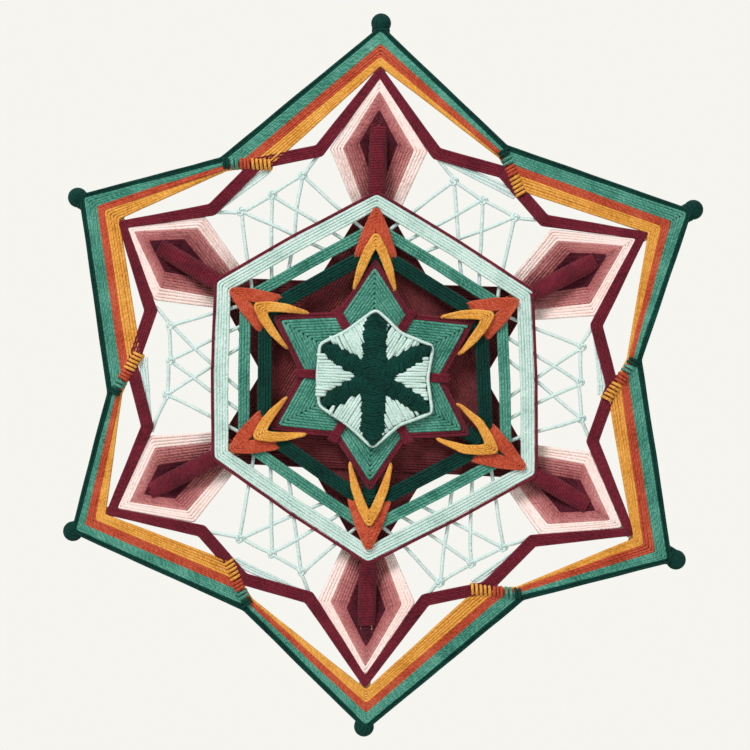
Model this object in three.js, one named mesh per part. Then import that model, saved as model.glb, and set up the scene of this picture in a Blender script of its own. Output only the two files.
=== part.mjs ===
import * as THREE from "three";

// An ojo de dios: three lapped sticks make six arms, wound with yarn in stars, hexagons and kites.
// Millimetres, +Z up, the front faces -Y. The origin is on the back of the sticks, where they cross.

// Arms, counter-clockwise from the front: direction in degrees, reach to the knob's centre,
// and how far out of true the inner weave sits on that arm
const ARMS = [
  { name: "upper_right", angle: 28.8, reach: 156.1, weave: 0.4 },
  { name: "top", angle: 90, reach: 152, weave: 0 },
  { name: "upper_left", angle: 150.2, reach: 148.1, weave: -0.8 },
  { name: "lower_left", angle: 208.8, reach: 146.4, weave: -2.2 },
  { name: "bottom", angle: 270, reach: 152.4, weave: 1.2 },
  { name: "lower_right", angle: 330.2, reach: 152.8, weave: 2 },
];

// Sticks
const STICK = 5;
const PATCH_HALF = 6;
const TIP_EASE = 0.25;
const CLEARANCE = 0.3;

// Knobs
const KNOB_DIAMETER = 8.7;
const KNOB_SEAT = 3.6;
const KNOB_SIDES = 12;
const KNOB_STEPS = 6;

// Yarn, and the room between one turn and the next
const YARN = 1.1;
const YARN_GAP = 0.48;
const YARN_SIDES = 4;

// Outer ring and the zigzag inside it
const RING_BELOW_KNOB = 4.9;
const RING_SHOULDER = 5;
const RING_VALLEY = 114.5;
const VALLEY_TWIST = 5;
const RING_DARK_TURNS = 1;
const RING_JADE_TURNS = 2;
const RING_ORANGE_TURNS = 2;
const RING_AMBER_TURNS = 2;
const ZIGZAG_TURNS = 2;
const ZIGZAG_BELOW_RING = 2.5;
const ZIGZAG_VALLEY = 107;
const ZIGZAG_TWIST = -0.5;
const ZIGZAG_CORNER_AXIAL = 99;
const ZIGZAG_CORNER_SIDE = 24.6;

// Kites on the arms
const KITE_TURNS = 2;
const KITE_CORNER_AXIAL = 97.8;
const KITE_CORNER_SIDE = 18.8;
const KITE_FOOT_AXIAL = 67.5;
const KITE_FOOT_SIDE = 8.4;
const KITE_CORNER_DROP = 0.3;
const SLEEVE_START = 83.6;
const SLEEVE_BELOW_HEART = 9;
const SLEEVE_PITCH = 1.85;

// Hexagons: the circumradius of the outermost turn
const HEXAGON_DARK = 58.4;
const HEXAGON_JADE = 67.3;
const HEXAGON_MINT = 79.2;
const HEXAGON_DARK_TURNS = 3;
const HEXAGON_JADE_TURNS = 3;
const HEXAGON_MINT_TURNS = 4;
const HEXAGON_LINE_TURNS = 1;

// Stars in front: how far out the points and the valleys between them lie
const ORANGE_POINT = 71.4;
const AMBER_POINT = 60.6;
const CRIMSON_POINT = 52.2;
const CRIMSON_VALLEY = 31.2;
const AMBER_TURNS = 2;
const ORANGE_TURNS = 2;
const CRIMSON_TURNS = 2;
const JADE_TURNS = 4;
const ORANGE_BEND = 0.62;
const AMBER_BEND = 0.45;

// Star behind: two triangles
const UNDER_STAR_POINT = 77;
const UNDER_STAR_TURNS = 11;

// Lashing at the crossing
const LASHING_AXIAL = 11;
const LASHING_CLIMB = 2.8;

// Medallion
const MEDALLION_POINT = 28.8;
const MEDALLION_VALLEY = 24.6;
const MEDALLION_THICK = 1.6;
const STITCH_THICK = 1.4;
const PETAL_POINT = 25.8;
const PETAL_HALF = 3.6;
const PETAL_OUTER = 20;
const PETAL_INNER = 12.5;
const WEDGE_TIP = 9;

// Nets: knots and feet in degrees from the middle of the sector, and their radii
const NET_THREAD = 1.2;
const NET_KNOT_ANGLE = 9.4;
const NET_KNOT_RADIUS = 91.6;
const NET_MIDDLE_RADIUS = 89.8;
const NET_FOOT_ANGLES = [16.5, 8.6, 0, -8.6, -16.5];
const NET_FOOT_STAGGER = 0.8;
const MINT_BAND_TWIST = -4;
const MINT_BAND_TOP = 100.2;
const MINT_BAND_LOW = 97.8;

const COLOURS = {
  wood: 0xc9a77a,
  darkGreen: 0x0f4a3d,
  jade: 0x4f9d87,
  mint: 0xcfe6de,
  orange: 0xcf5230,
  amber: 0xe3a245,
  crimson: 0x6a1b30,
  burgundy: 0x5c1a2a,
  rose: 0xb4666a,
  blush: 0xf3d9d3,
};

const PITCH = YARN + YARN_GAP;
const LAYER = PITCH;
const FRONT = STICK / 2 + CLEARANCE + YARN / 2;
const BACK = -FRONT;
const KITE_FOOT_DEPTH = BACK - 2 * LAYER;
const COUNT = ARMS.length;
const RADIANS = Math.PI / 180;

const part = new THREE.Group();

function addMesh(name, geometry, colour, roughness = 0.9) {
  const material = new THREE.MeshStandardMaterial({ color: colour, roughness, metalness: 0 });
  const mesh = new THREE.Mesh(geometry, material);
  mesh.name = name;
  part.add(mesh);
  return mesh;
}

// Depth is counted from the middle of the sticks towards the front
function place(point) {
  return new THREE.Vector3(point.x, -STICK / 2 - point.depth, point.z);
}

function polar(degrees, radius, depth) {
  return {
    x: radius * Math.cos(degrees * RADIANS),
    z: radius * Math.sin(degrees * RADIANS),
    depth,
  };
}

// A point on an arm: out along it, sideways from it (counter-clockwise positive) and in depth
function onArm(index, axial, side, depth) {
  const angle = ARMS[index % COUNT].angle * RADIANS;
  return {
    x: axial * Math.cos(angle) - side * Math.sin(angle),
    z: axial * Math.sin(angle) + side * Math.cos(angle),
    depth,
  };
}

// The direction halfway between an arm and the next one counter-clockwise
function middleOf(index) {
  const from = ARMS[index % COUNT].angle;
  let to = ARMS[(index + 1) % COUNT].angle;
  if (to < from) to += 360;
  return (from + to) / 2;
}

function inSector(index, radius, twist, depth) {
  return polar(middleOf(index) + twist, radius, depth);
}

function between(a, b, share, depth) {
  return { x: a.x + (b.x - a.x) * share, z: a.z + (b.z - a.z) * share, depth };
}

// The unit normal on the left of the way from a to b, which is inwards on a counter-clockwise outline
function leftNormal(a, b) {
  const length = Math.hypot(b.x - a.x, b.z - a.z);
  return { x: -(b.z - a.z) / length, z: (b.x - a.x) / length };
}

// How far each corner moves for each millimetre that the outline's sides move inwards
function mitres(outline) {
  return outline.map((corner, index) => {
    const before = outline[(index + outline.length - 1) % outline.length];
    const after = outline[(index + 1) % outline.length];
    const first = leftNormal(before, corner);
    const second = leftNormal(corner, after);
    const share = 1 + first.x * second.x + first.z * second.z;
    return { x: (first.x + second.x) / share, z: (first.z + second.z) / share };
  });
}

function inset(outline, distance) {
  const moves = mitres(outline);
  return outline.map((corner, index) => ({
    x: corner.x + moves[index].x * distance,
    z: corner.z + moves[index].z * distance,
    depth: corner.depth,
  }));
}

// The point where the line through a and b meets the line through c and d
function crossing(a, b, c, d, depth) {
  const ux = b.x - a.x;
  const uz = b.z - a.z;
  const vx = d.x - c.x;
  const vz = d.z - c.z;
  const share = ((c.x - a.x) * vz - (c.z - a.z) * vx) / (ux * vz - uz * vx);
  return { x: a.x + ux * share, z: a.z + uz * share, depth };
}

// A winding's route: the outline is followed round and round, each turn one pitch further in.
// The last stretch stops short of the first corner, where the next colour begins.
function windIn(outline, turns) {
  const moves = mitres(outline);
  const route = [];
  for (let step = 0; step <= turns * outline.length; step += 1) {
    const index = step % outline.length;
    const distance = (PITCH * step) / outline.length;
    route.push(
      place({
        x: outline[index].x + moves[index].x * distance,
        z: outline[index].z + moves[index].z * distance,
        depth: outline[index].depth,
      }),
    );
  }
  const last = route[route.length - 1];
  const back = route[route.length - 2].clone().sub(last).normalize();
  last.addScaledVector(back, 3 * YARN);
  return route;
}

// The least distance between two straight stretches of yarn
function stretchDistance(a, b, c, d) {
  const steps = 8;
  const segment = new THREE.Line3(c, d);
  const probe = new THREE.Vector3();
  const nearest = new THREE.Vector3();
  let least = Infinity;
  for (let step = 0; step <= steps; step += 1) {
    probe.lerpVectors(a, b, step / steps);
    segment.closestPointToPoint(probe, true, nearest);
    least = Math.min(least, probe.distanceTo(nearest));
  }
  return least;
}

// The least gap between turns of one winding, leaving out stretches that follow each other closely
function leastGap(route) {
  const along = [0];
  for (let i = 1; i < route.length; i += 1) {
    along.push(along[i - 1] + route[i].distanceTo(route[i - 1]));
  }
  let least = Infinity;
  for (let i = 0; i + 1 < route.length; i += 1) {
    for (let j = i + 2; j + 1 < route.length; j += 1) {
      if (along[j] - along[i + 1] < 2 * YARN) continue;
      least = Math.min(least, stretchDistance(route[i], route[i + 1], route[j], route[j + 1]));
      least = Math.min(least, stretchDistance(route[j], route[j + 1], route[i], route[i + 1]));
    }
  }
  return least - YARN;
}

// A yarn along a route of straight stretches, with a mitred corner where they meet
function yarnGeometry(route) {
  const rings = [];
  const first = route[1].clone().sub(route[0]).normalize();
  const up = Math.abs(first.y) < 0.9 ? new THREE.Vector3(0, 1, 0) : new THREE.Vector3(1, 0, 0);
  const across = new THREE.Vector3().crossVectors(up, first).normalize();
  const over = new THREE.Vector3().crossVectors(first, across);
  const ring = [];
  for (let side = 0; side < YARN_SIDES; side += 1) {
    const turn = (2 * Math.PI * side) / YARN_SIDES;
    ring.push(
      route[0]
        .clone()
        .addScaledVector(across, (Math.cos(turn) * YARN) / 2)
        .addScaledVector(over, (Math.sin(turn) * YARN) / 2),
    );
  }
  rings.push(ring);
  for (let i = 1; i < route.length; i += 1) {
    const into = route[i].clone().sub(route[i - 1]).normalize();
    const onward = i + 1 < route.length ? route[i + 1].clone().sub(route[i]).normalize() : into;
    const facing = into.clone().add(onward).normalize();
    rings.push(
      rings[i - 1].map((vertex) => {
        const ahead = route[i].clone().sub(vertex).dot(facing) / into.dot(facing);
        return vertex.clone().addScaledVector(into, ahead);
      }),
    );
  }
  const positions = [];
  const face = (...corners) => corners.forEach((v) => positions.push(v.x, v.y, v.z));
  for (let i = 0; i + 1 < rings.length; i += 1) {
    for (let side = 0; side < YARN_SIDES; side += 1) {
      const next = (side + 1) % YARN_SIDES;
      face(rings[i][side], rings[i][next], rings[i + 1][next]);
      face(rings[i][side], rings[i + 1][next], rings[i + 1][side]);
    }
  }
  const end = rings[rings.length - 1];
  for (let side = 1; side + 1 < YARN_SIDES; side += 1) {
    face(rings[0][0], rings[0][side + 1], rings[0][side]);
    face(end[0], end[side], end[side + 1]);
  }
  const geometry = new THREE.BufferGeometry();
  geometry.setAttribute("position", new THREE.Float32BufferAttribute(positions, 3));
  geometry.computeVertexNormals();
  return geometry;
}

function addWinding(name, route, colour) {
  console.log(`${name}: least gap to itself ${leastGap(route).toFixed(2)} mm`);
  addMesh(name, yarnGeometry(route), colour);
}

// Sticks: each keeps one third of its thickness where the three cross
function lapHalf() {
  let sharpest = 90;
  for (let i = 0; i < COUNT; i += 1) {
    sharpest = Math.min(sharpest, 2 * (middleOf(i) - ARMS[i].angle));
  }
  const angle = sharpest * RADIANS;
  return STICK / 2 / Math.sin(angle) + STICK / 2 / Math.tan(angle) + CLEARANCE;
}

function stickGeometry(index, third) {
  const ahead = ARMS[index].reach - KNOB_SEAT - CLEARANCE;
  const behind = ARMS[index + COUNT / 2].reach - KNOB_SEAT - CLEARANCE;
  const half = lapHalf();
  const low = third === 0 ? 0 : (STICK * third) / 3 + CLEARANCE / 2;
  const high = third === 2 ? STICK : (STICK * (third + 1)) / 3 - CLEARANCE / 2;
  const outline = [[-behind, TIP_EASE]];
  if (third === 0) outline.push([-PATCH_HALF, 0], [PATCH_HALF, 0]);
  if (third > 0) outline.push([-half, 0], [-half, low], [half, low], [half, 0]);
  outline.push([ahead, TIP_EASE], [ahead, STICK]);
  if (third < 2) outline.push([half, STICK], [half, high], [-half, high], [-half, STICK]);
  outline.push([-behind, STICK]);
  const shape = new THREE.Shape(outline.map(([along, out]) => new THREE.Vector2(along, out)));
  const geometry = new THREE.ExtrudeGeometry(shape, { depth: STICK, bevelEnabled: false });
  geometry.translate(0, 0, -STICK / 2);
  const angle = ARMS[index].angle * RADIANS;
  const along = new THREE.Vector3(Math.cos(angle), 0, Math.sin(angle));
  const out = new THREE.Vector3(0, -1, 0);
  const across = new THREE.Vector3().crossVectors(along, out);
  geometry.applyMatrix4(new THREE.Matrix4().makeBasis(along, out, across));
  return geometry;
}

addMesh("stick_rear", stickGeometry(1, 0), COLOURS.wood, 0.7);
addMesh("stick_middle", stickGeometry(0, 1), COLOURS.wood, 0.7);
addMesh("stick_front", stickGeometry(2, 2), COLOURS.wood, 0.7);

// Knobs: balls with a flat seat towards the stick's end
function knobGeometry() {
  const radius = KNOB_DIAMETER / 2;
  const start = Math.acos(KNOB_SEAT / radius);
  const profile = [new THREE.Vector2(0, -KNOB_SEAT)];
  for (let step = 0; step < KNOB_STEPS; step += 1) {
    const turn = start + ((Math.PI - start) * step) / KNOB_STEPS;
    profile.push(new THREE.Vector2(radius * Math.sin(turn), -radius * Math.cos(turn)));
  }
  profile.push(new THREE.Vector2(0, radius));
  return new THREE.LatheGeometry(profile, KNOB_SIDES);
}

ARMS.forEach((arm, index) => {
  const knob = addMesh(`knob_${arm.name}`, knobGeometry(), COLOURS.darkGreen);
  knob.position.copy(place(onArm(index, arm.reach, 0, 0)));
  knob.rotation.y = Math.PI / 2 - arm.angle * RADIANS;
  knob.rotation.order = "YXZ";
  knob.rotation.x = Math.PI / 2;
});

// Lashing: one yarn taken over, round and over each arm in turn
function lashingRoute() {
  const route = [];
  for (let index = 0; index < COUNT; index += 1) {
    const climb = (share) => LASHING_AXIAL + LASHING_CLIMB * share;
    route.push(place(onArm(index, climb(0), -FRONT, FRONT)));
    route.push(place(onArm(index, climb(0), FRONT, FRONT)));
    route.push(place(onArm(index, climb(0.33), FRONT, BACK)));
    route.push(place(onArm(index, climb(0.66), -FRONT, BACK)));
    route.push(place(onArm(index, climb(1), -FRONT, FRONT)));
    route.push(place(onArm(index, climb(1), FRONT, FRONT)));
  }
  return route;
}

addWinding("centre_lashing", lashingRoute(), COLOURS.darkGreen);

// Outer ring: dark green and jade lie side by side all the way round, with a blunt corner at each knob
const ringOutline = [];
for (let index = 0; index < COUNT; index += 1) {
  const top = ARMS[index].reach - RING_BELOW_KNOB;
  ringOutline.push(onArm(index, top, -RING_SHOULDER, FRONT));
  ringOutline.push(onArm(index, top, RING_SHOULDER, FRONT));
  ringOutline.push(inSector(index, RING_VALLEY, VALLEY_TWIST, FRONT));
}
const jadeFrom = PITCH * RING_DARK_TURNS;
const orangeFrom = jadeFrom + PITCH * RING_JADE_TURNS;
const amberFrom = orangeFrom + PITCH * RING_ORANGE_TURNS;
const zigzagFrom = amberFrom + PITCH * RING_AMBER_TURNS;

// The zigzag runs from the arm to the kite's corner, along to the valley and on to the next arm
const zigzagOutline = [];
for (let index = 0; index < COUNT; index += 1) {
  const point = ARMS[index].reach - RING_BELOW_KNOB - zigzagFrom - ZIGZAG_BELOW_RING;
  zigzagOutline.push(onArm(index, point, 0, FRONT));
  zigzagOutline.push(onArm(index, ZIGZAG_CORNER_AXIAL, ZIGZAG_CORNER_SIDE, FRONT));
  zigzagOutline.push(inSector(index, ZIGZAG_VALLEY, ZIGZAG_TWIST, FRONT));
  zigzagOutline.push(onArm(index + 1, ZIGZAG_CORNER_AXIAL, -ZIGZAG_CORNER_SIDE, FRONT));
}

// Orange and amber end on the zigzag on the clockwise side of each valley, pass along behind it,
// and fan out again from the valley to the next point
function ringInner(distance, depth) {
  const parallel = inset(ringOutline, distance);
  const valleys = inset(ringOutline, jadeFrom);
  const outline = [];
  for (let index = 0; index < COUNT; index += 1) {
    const next = (index + 1) % COUNT;
    const leaving = parallel[3 * index + 1];
    const low = parallel[3 * index + 2];
    const valley = { ...valleys[3 * index + 2], depth };
    outline.push(parallel[3 * index]);
    outline.push(leaving);
    outline.push(crossing(leaving, low, valley, zigzagOutline[4 * index + 1], depth));
    outline.push(valley);
    outline.push(between(parallel[3 * next], low, 0.5, depth));
  }
  return outline;
}

addWinding("ring_dark_green", windIn(ringOutline, RING_DARK_TURNS), COLOURS.darkGreen);
addWinding("ring_jade", windIn(inset(ringOutline, jadeFrom), RING_JADE_TURNS), COLOURS.jade);
addWinding(
  "ring_orange",
  windIn(ringInner(orangeFrom, FRONT - LAYER), RING_ORANGE_TURNS),
  COLOURS.orange,
);
addWinding(
  "ring_amber",
  windIn(ringInner(amberFrom, FRONT - 2 * LAYER), RING_AMBER_TURNS),
  COLOURS.amber,
);
addWinding("zigzag_crimson", windIn(zigzagOutline, ZIGZAG_TURNS), COLOURS.crimson);

// Kites: over the arm at the outer point, out to the corners, and behind everything at the foot
function kiteOutline(index) {
  const arm = inset(zigzagOutline, PITCH * (ZIGZAG_TURNS + 1))[4 * index];
  const point = Math.hypot(arm.x, arm.z);
  return [
    onArm(index, KITE_FOOT_AXIAL, -KITE_FOOT_SIDE, KITE_FOOT_DEPTH),
    onArm(index, KITE_CORNER_AXIAL, -KITE_CORNER_SIDE, FRONT - KITE_CORNER_DROP),
    onArm(index, point, 0, FRONT),
    onArm(index, KITE_CORNER_AXIAL, KITE_CORNER_SIDE, FRONT - KITE_CORNER_DROP),
    onArm(index, KITE_FOOT_AXIAL, KITE_FOOT_SIDE, KITE_FOOT_DEPTH),
  ];
}

// Sleeves: yarn round and round the stick inside the kite
function sleeveRoute(index, heartPoint) {
  const turns = Math.floor((heartPoint - SLEEVE_BELOW_HEART - SLEEVE_START) / SLEEVE_PITCH);
  const corners = [
    [FRONT, FRONT],
    [FRONT, BACK],
    [BACK, BACK],
    [BACK, FRONT],
  ];
  const route = [];
  for (let step = 0; step <= turns * corners.length; step += 1) {
    const [side, depth] = corners[step % corners.length];
    const axial = SLEEVE_START + (SLEEVE_PITCH * step) / corners.length;
    route.push(place(onArm(index, axial, side, depth)));
  }
  return route;
}

const kiteColours = [
  ["blush", COLOURS.blush],
  ["rose", COLOURS.rose],
  ["heart", COLOURS.crimson],
];
ARMS.forEach((arm, index) => {
  const outline = kiteOutline(index);
  kiteColours.forEach(([word, colour], layer) => {
    const start = inset(outline, PITCH * KITE_TURNS * layer);
    addWinding(`kite_${word}_${arm.name}`, windIn(start, KITE_TURNS), colour);
  });
  const heart = inset(outline, PITCH * KITE_TURNS * kiteColours.length)[2];
  addWinding(`sleeve_${arm.name}`, sleeveRoute(index, Math.hypot(heart.x, heart.z)), COLOURS.crimson);
});

// Hexagons across the fronts of the arms
function hexagon(circumradius) {
  return ARMS.map((arm, index) => onArm(index, circumradius + arm.weave, 0, FRONT));
}

const mintOutline = hexagon(HEXAGON_MINT);
const lineOutline = inset(mintOutline, -PITCH * HEXAGON_LINE_TURNS);
addWinding("hexagon_crimson_line", windIn(lineOutline, HEXAGON_LINE_TURNS), COLOURS.crimson);
addWinding("hexagon_mint", windIn(mintOutline, HEXAGON_MINT_TURNS), COLOURS.mint);
addWinding("hexagon_jade", windIn(hexagon(HEXAGON_JADE), HEXAGON_JADE_TURNS), COLOURS.jade);
addWinding("hexagon_dark_green", windIn(hexagon(HEXAGON_DARK), HEXAGON_DARK_TURNS), COLOURS.darkGreen);

// Stars in front of the hexagons. Orange and amber cross the hexagons near their points,
// bend, and dip between the arms to pass behind the crimson star's valleys.
function star(point, valley, pointDepth, bend, valleyDepth) {
  const outline = [];
  for (let index = 0; index < COUNT; index += 1) {
    const next = (index + 1) % COUNT;
    const tip = onArm(index, point + ARMS[index].weave, 0, pointDepth);
    const low = inSector(index, valley, 0, valleyDepth);
    const nextTip = onArm(next, point + ARMS[next].weave, 0, pointDepth);
    outline.push(tip);
    if (bend) outline.push(between(tip, low, bend, pointDepth));
    outline.push(low);
    if (bend) outline.push(between(nextTip, low, bend, pointDepth));
  }
  return outline;
}

const crimsonStar = star(CRIMSON_POINT, CRIMSON_VALLEY, FRONT, 0, FRONT);
const jadeStar = inset(crimsonStar, PITCH * CRIMSON_TURNS);
const outerValley = inset(crimsonStar, -PITCH * AMBER_TURNS)[1];
const starValley = Math.hypot(outerValley.x, outerValley.z);
const orangeStar = star(ORANGE_POINT, starValley, FRONT + LAYER, ORANGE_BEND, FRONT - 2 * LAYER);
const amberStar = star(AMBER_POINT, starValley, FRONT + 2 * LAYER, AMBER_BEND, FRONT - LAYER);
addWinding("star_orange", windIn(orangeStar, ORANGE_TURNS), COLOURS.orange);
addWinding("star_amber", windIn(amberStar, AMBER_TURNS), COLOURS.amber);
addWinding("star_crimson", windIn(crimsonStar, CRIMSON_TURNS), COLOURS.crimson);
addWinding("star_jade", windIn(jadeStar, JADE_TURNS), COLOURS.jade);

// Star behind: two triangles on every other arm, one behind the other
function triangle(first, depth) {
  return [0, 2, 4].map((step) => {
    const index = (first + step) % COUNT;
    return onArm(index, UNDER_STAR_POINT + ARMS[index].weave, 0, depth);
  });
}

addWinding("under_star_first", windIn(triangle(1, BACK), UNDER_STAR_TURNS), COLOURS.burgundy);
addWinding("under_star_second", windIn(triangle(0, BACK - LAYER), UNDER_STAR_TURNS), COLOURS.burgundy);

// Flat pieces are drawn as outlines seen from the front and given their thickness towards the front
function plateGeometry(outline, holes, backDepth, thick) {
  const flat = (points) => points.map((p) => new THREE.Vector2(p.x, p.z));
  const shape = new THREE.Shape(flat(outline));
  shape.holes = holes.map((hole) => new THREE.Path(flat(hole)));
  const geometry = new THREE.ExtrudeGeometry(shape, { depth: thick, bevelEnabled: false });
  geometry.rotateX(Math.PI / 2);
  geometry.translate(0, -STICK / 2 - backDepth, 0);
  return geometry;
}

// Medallion: a base, and in front of it the stitching with a six-petalled opening
const medallionBack = FRONT + YARN / 2 + CLEARANCE;
const medallionOutline = [];
const petalOpening = [];
ARMS.forEach((arm, index) => {
  medallionOutline.push(onArm(index, MEDALLION_POINT, 0, 0));
  medallionOutline.push(inSector(index, MEDALLION_VALLEY, 0, 0));
  petalOpening.push(onArm(index, PETAL_INNER, -PETAL_HALF, 0));
  petalOpening.push(onArm(index, PETAL_OUTER, -PETAL_HALF, 0));
  petalOpening.push(onArm(index, PETAL_POINT, 0, 0));
  petalOpening.push(onArm(index, PETAL_OUTER, PETAL_HALF, 0));
  petalOpening.push(onArm(index, PETAL_INNER, PETAL_HALF, 0));
  petalOpening.push(inSector(index, WEDGE_TIP, 0, 0));
});
addMesh(
  "medallion_base",
  plateGeometry(medallionOutline, [], medallionBack, MEDALLION_THICK),
  COLOURS.darkGreen,
);
addMesh(
  "medallion_stitching",
  plateGeometry(
    medallionOutline,
    [petalOpening],
    medallionBack + MEDALLION_THICK + CLEARANCE,
    STITCH_THICK,
  ),
  COLOURS.mint,
);

// Nets: threads between knots, drawn as one flat lattice behind the mint hexagon
function outsetLoop(loop, half) {
  const outline = [];
  loop.forEach((corner, index) => {
    const before = loop[(index + loop.length - 1) % loop.length];
    const after = loop[(index + 1) % loop.length];
    const first = leftNormal(before, corner);
    const second = leftNormal(corner, after);
    const share = 1 + first.x * second.x + first.z * second.z;
    if (share > 0.05) {
      const move = -half / share;
      outline.push({
        x: corner.x + (first.x + second.x) * move,
        z: corner.z + (first.z + second.z) * move,
      });
      return;
    }
    outline.push({ x: corner.x - first.x * half, z: corner.z - first.z * half });
    outline.push({ x: corner.x - second.x * half, z: corner.z - second.z * half });
  });
  return outline;
}

function netGeometry(index) {
  const next = (index + 1) % COUNT;
  const half = NET_THREAD / 2;
  const reach = PITCH * (ZIGZAG_TURNS - 1);
  const at = (twist, radius) => inSector(index, radius, twist, 0);
  const corners = inset(zigzagOutline, reach);
  const rightEnd = corners[4 * index + 1];
  const leftEnd = corners[4 * index + 3];
  const rightKnot = at(-NET_KNOT_ANGLE, NET_KNOT_RADIUS);
  const middleKnot = at(0, NET_MIDDLE_RADIUS);
  const leftKnot = at(NET_KNOT_ANGLE, NET_KNOT_RADIUS);
  const feet = NET_FOOT_ANGLES.map((twist, order) => {
    const band = inset(mintOutline, PITCH + NET_FOOT_STAGGER * (order % 2));
    return crossing(at(twist, 0), at(twist, 1), band[index], band[next], 0);
  });
  const leftCross = crossing(leftKnot, feet[2], middleKnot, feet[1], 0);
  const rightCross = crossing(rightKnot, feet[2], middleKnot, feet[3], 0);
  const outline = [
    leftEnd,
    leftKnot,
    feet[0],
    feet[4],
    rightKnot,
    rightEnd,
    rightKnot,
    middleKnot,
    leftKnot,
    leftEnd,
    at(MINT_BAND_TWIST, MINT_BAND_LOW),
    at(MINT_BAND_TWIST, MINT_BAND_TOP),
  ];
  const cells = [
    [leftKnot, leftCross, middleKnot],
    [middleKnot, rightCross, rightKnot],
    [leftCross, feet[2], rightCross, middleKnot],
    [leftKnot, feet[0], feet[1], leftCross],
    [leftCross, feet[1], feet[2]],
    [rightCross, feet[2], feet[3]],
    [rightKnot, rightCross, feet[3], feet[4]],
  ];
  const holes = cells.map((cell) => inset(cell, half));
  const front = FRONT - YARN / 2 - CLEARANCE;
  return plateGeometry(outsetLoop(outline, half), holes, front - NET_THREAD, NET_THREAD);
}

ARMS.forEach((arm, index) => {
  const next = ARMS[(index + 1) % COUNT].name;
  addMesh(`net_${arm.name}_to_${next}`, netGeometry(index), COLOURS.mint);
});

export default part;
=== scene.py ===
"""An ojo de dios: six arms of crossed sticks, wound with wool in stars, hexagons, kites and a pointed ring.

Sizes are in millimetres until a mesh is made. +Z is up, the front faces -Y, and the origin is on the back
of the sticks where they cross. Depth is counted from the middle of the sticks towards the front.
"""

import bpy
import numpy as np
from mathutils import Matrix


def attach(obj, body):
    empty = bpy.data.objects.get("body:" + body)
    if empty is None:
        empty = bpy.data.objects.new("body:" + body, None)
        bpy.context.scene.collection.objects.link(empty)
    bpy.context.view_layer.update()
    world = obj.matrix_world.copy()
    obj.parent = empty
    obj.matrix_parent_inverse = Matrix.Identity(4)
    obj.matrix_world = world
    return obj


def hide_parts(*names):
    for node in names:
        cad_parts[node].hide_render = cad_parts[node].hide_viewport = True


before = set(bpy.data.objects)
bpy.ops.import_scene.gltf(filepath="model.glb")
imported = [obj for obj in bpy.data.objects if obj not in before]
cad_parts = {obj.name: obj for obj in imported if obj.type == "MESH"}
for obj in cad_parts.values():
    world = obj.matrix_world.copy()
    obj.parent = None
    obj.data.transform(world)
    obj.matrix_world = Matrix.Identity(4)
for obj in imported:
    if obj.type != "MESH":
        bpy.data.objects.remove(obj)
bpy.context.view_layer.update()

# Arms, counter-clockwise as seen from the front: how far each stick reaches, and how far out the weaving slid on it
ARM_NAMES = ["upper_right", "top", "upper_left", "lower_left", "bottom", "lower_right"]
ARM_DEGREES = np.array([28.8, 90.0, 150.2, 208.8, 270.0, 330.2])
REACH = np.array([156.1, 152.0, 148.1, 146.4, 152.4, 152.8])
WEAVE = np.array([-1.8, -1.3, -1.2, -2.6, 1.1, 3.0])
ARMS = np.arange(6)
NEXT = (ARMS + 1) % 6
SECTOR_DEGREES = (ARM_DEGREES + np.where(NEXT == 0, 360, 0) + ARM_DEGREES[NEXT]) / 2

# Yarn and sticks: thickness, distance between turns, length of a mesh step and of one full ply turn, and the depth of
# the first layer before and behind the sticks
STICK = 5.0
YARN = 1.36
PITCH = 1.2
STEP = 1.0
SIDES = 6
PLY_LENGTH = 5.0
STRAY_REACH = 5.0
FRONT = 3.3
BACK = -FRONT
LAYER = 1.3
GUIDE = np.array([0.0, -1.0, 0.0])

random = np.random.default_rng(31)


# Places on the object

def spot(x, z, depth):
    """Points (x, y, z) with y = -half a stick - depth."""
    x, y, z = np.broadcast_arrays(x, -STICK / 2 - np.asarray(depth, float), z)
    return np.stack([x, y, z], axis=-1).astype(float)


def on_arm(arm, axial, side=0.0, depth=FRONT):
    """Points out along an arm by axial and counter-clockwise from it by side: a turned pair of axes."""
    angle = np.radians(ARM_DEGREES[np.asarray(arm) % 6])
    x = axial * np.cos(angle) - side * np.sin(angle)
    z = axial * np.sin(angle) + side * np.cos(angle)
    return spot(x, z, depth)


def in_sector(sector, radius, twist=0.0, depth=FRONT):
    """Points in polar form, twist degrees counter-clockwise from the middle between two arms."""
    angle = np.radians(SECTOR_DEGREES[np.asarray(sector) % 6] + twist)
    return spot(radius * np.cos(angle), radius * np.sin(angle), depth)


def woven(*columns):
    """Interleaves columns of points, one row for each arm, into a single closed outline."""
    return np.stack(columns, axis=1).reshape(-1, 3)


def normals(outline):
    """Unit normals on the left of each side of a closed outline: a side's direction turned a quarter."""
    along = np.roll(outline, -1, axis=0) - outline
    left = np.stack([-along[:, 2], along[:, 0]], axis=1)
    return left / np.linalg.norm(left, axis=1, keepdims=True)


def mitres(outline):
    """How far each corner moves when the sides move in by one: (a + b) / (1 + a.b) of its two normals."""
    after = normals(outline)
    before = np.roll(after, 1, axis=0)
    return (before + after) / (1 + np.sum(before * after, axis=1, keepdims=True))


def inset(outline, distance):
    """The outline with every side moved inwards by a distance."""
    moved = outline.copy()
    moved[:, [0, 2]] += mitres(outline) * distance
    return moved


def meeting(a, b, c, d, depth):
    """Where the line through a and b meets the line through c and d, for rows of points."""
    u, v, w = b - a, d - c, c - a
    share = (w[:, 0] * v[:, 2] - w[:, 2] * v[:, 0]) / (u[:, 0] * v[:, 2] - u[:, 2] * v[:, 0])
    met = a + u * share[:, None]
    return spot(met[:, 0], met[:, 2], depth)


def mixed(a, b, share, depth):
    """Points a share of the way from a to b, at a depth of their own."""
    point = a + (b - a) * share
    return spot(point[..., 0], point[..., 2], depth)


# Routes of yarn

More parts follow.
